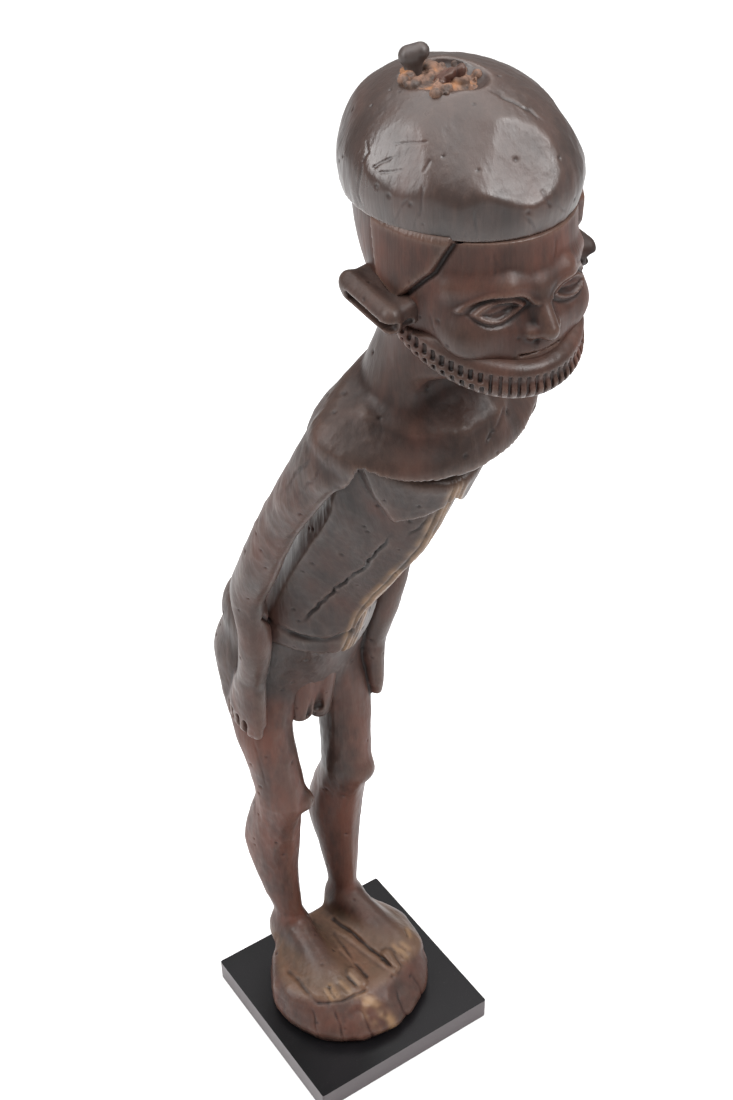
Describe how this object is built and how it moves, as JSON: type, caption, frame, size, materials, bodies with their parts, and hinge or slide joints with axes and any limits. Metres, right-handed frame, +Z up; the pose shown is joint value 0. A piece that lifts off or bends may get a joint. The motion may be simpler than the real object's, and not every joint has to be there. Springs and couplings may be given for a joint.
{
  "type": "carved ancestor figure",
  "caption": "Standing carved hardwood figure leaning forward, with a domed hair cap, notched beard, wedge-shaped trunk and long arms, on a square black plinth.",
  "frame": {"origin": "centre of the plinth underside, on the felt", "axes": "+Z up, -Y the way the figure faces, +X towards the left hand of the figure"},
  "size_m": [0.15, 0.2904, 0.8041],
  "materials": {
    "timber": "oiled and handled dark hardwood, satin",
    "timber_red": "the same hardwood worn redder, satin",
    "lacquer": "black satin lacquer on board",
    "felt": "pressed felt",
    "steel": "zinc plated",
    "resin": "hardened rough tree resin",
    "dark_peg": "dark hardwood, polished by handling"
  },
  "bodies": {
    "root": {"felt_sheet": "felt", "plinth": "lacquer", "screw_washers": "steel", "mounting_screws": "steel", "carved_base": "timber_red", "right_foot": "timber_red", "left_foot": "timber_red", "right_shin": "timber_red", "left_shin": "timber_red", "right_thigh": "timber", "left_thigh": "timber", "pelvis": "timber", "loin_apron": "timber", "abdomen": "timber", "right_chest_plate": "timber", "left_chest_plate": "timber", "shoulder_yoke": "timber", "right_arm": "timber", "left_arm": "timber", "right_hand": "timber_red", "left_hand": "timber_red", "neck": "timber", "head": "timber_red", "right_ear": "timber", "left_ear": "timber", "beard": "timber_red", "hair_cap": "timber", "crown_peg": "dark_peg", "crown_resin": "resin", "crown_stub": "timber_red"}
  },
  "joints": []
}
